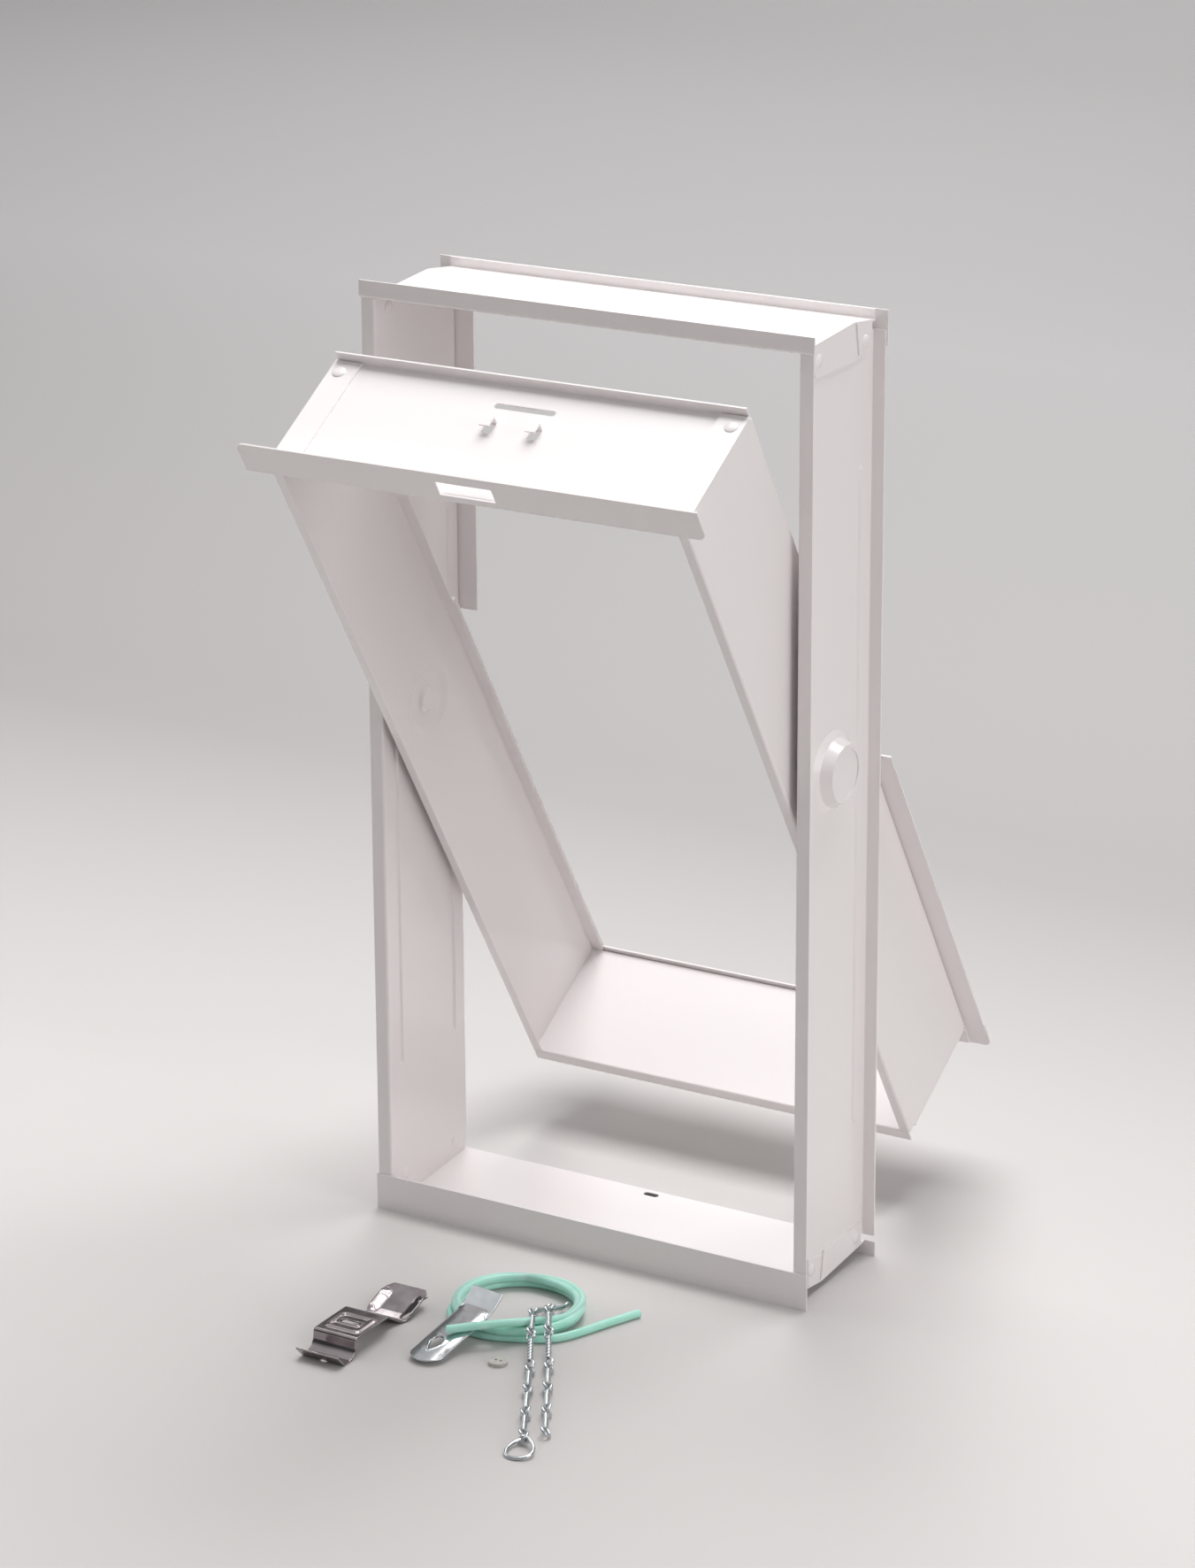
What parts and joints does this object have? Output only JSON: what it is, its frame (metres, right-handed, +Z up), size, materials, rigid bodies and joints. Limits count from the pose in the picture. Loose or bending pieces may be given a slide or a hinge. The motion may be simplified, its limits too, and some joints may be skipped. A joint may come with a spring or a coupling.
{
  "type": "glass block vent window",
  "caption": "steel frame for a glass block opening with a sash that tilts open on two side pivots",
  "frame": {"origin": "middle of the lower front edge of the sill, on the front face", "axes": "X across the window, Y from the front face to the back, Z up"},
  "size_m": [0.33, 0.541, 0.6421],
  "materials": {
    "white_enamel": "satin white baked enamel",
    "zinc_plate": "bright zinc plated steel",
    "dark_steel": "dark spring steel",
    "green_vinyl": "translucent sea green vinyl tube",
    "button_plastic": "pale grey moulded plastic"
  },
  "bodies": {
    "frame": {"head": "white_enamel", "head_stop": "white_enamel", "sill": "white_enamel", "sill_stop": "white_enamel", "jamb_left": "white_enamel", "jamb_right": "white_enamel", "jamb_stop_left": "white_enamel", "jamb_stop_right": "white_enamel", "pivot_housing_left": "white_enamel", "pivot_housing_right": "white_enamel", "pivot_cap_left": "white_enamel", "pivot_cap_right": "white_enamel", "latch_clip": "dark_steel", "pull_handle": "zinc_plate", "tube_coil": "green_vinyl", "tube_end_right": "green_vinyl", "tube_end_left": "green_vinyl", "button": "button_plastic", "chain_near": "zinc_plate", "chain_far": "zinc_plate", "joining_ring": "zinc_plate", "pull_ring": "zinc_plate"},
    "sash": {"sash_left": "white_enamel", "sash_right": "white_enamel", "sash_top": "white_enamel", "sash_top_flange": "white_enamel", "sash_bottom": "white_enamel", "sash_bottom_flange": "white_enamel", "sash_strip_left": "white_enamel", "sash_strip_right": "white_enamel", "pivot_pin_left": "white_enamel", "pivot_pin_right": "white_enamel"}
  },
  "joints": [
    {"name": "sash_tilt", "type": "hinge", "parent": "frame", "child": "sash", "pos_m": [0, 0.047, 0.351], "axis": [1, 0, 0], "range_deg": [-31.6, 33.4]}
  ]
}
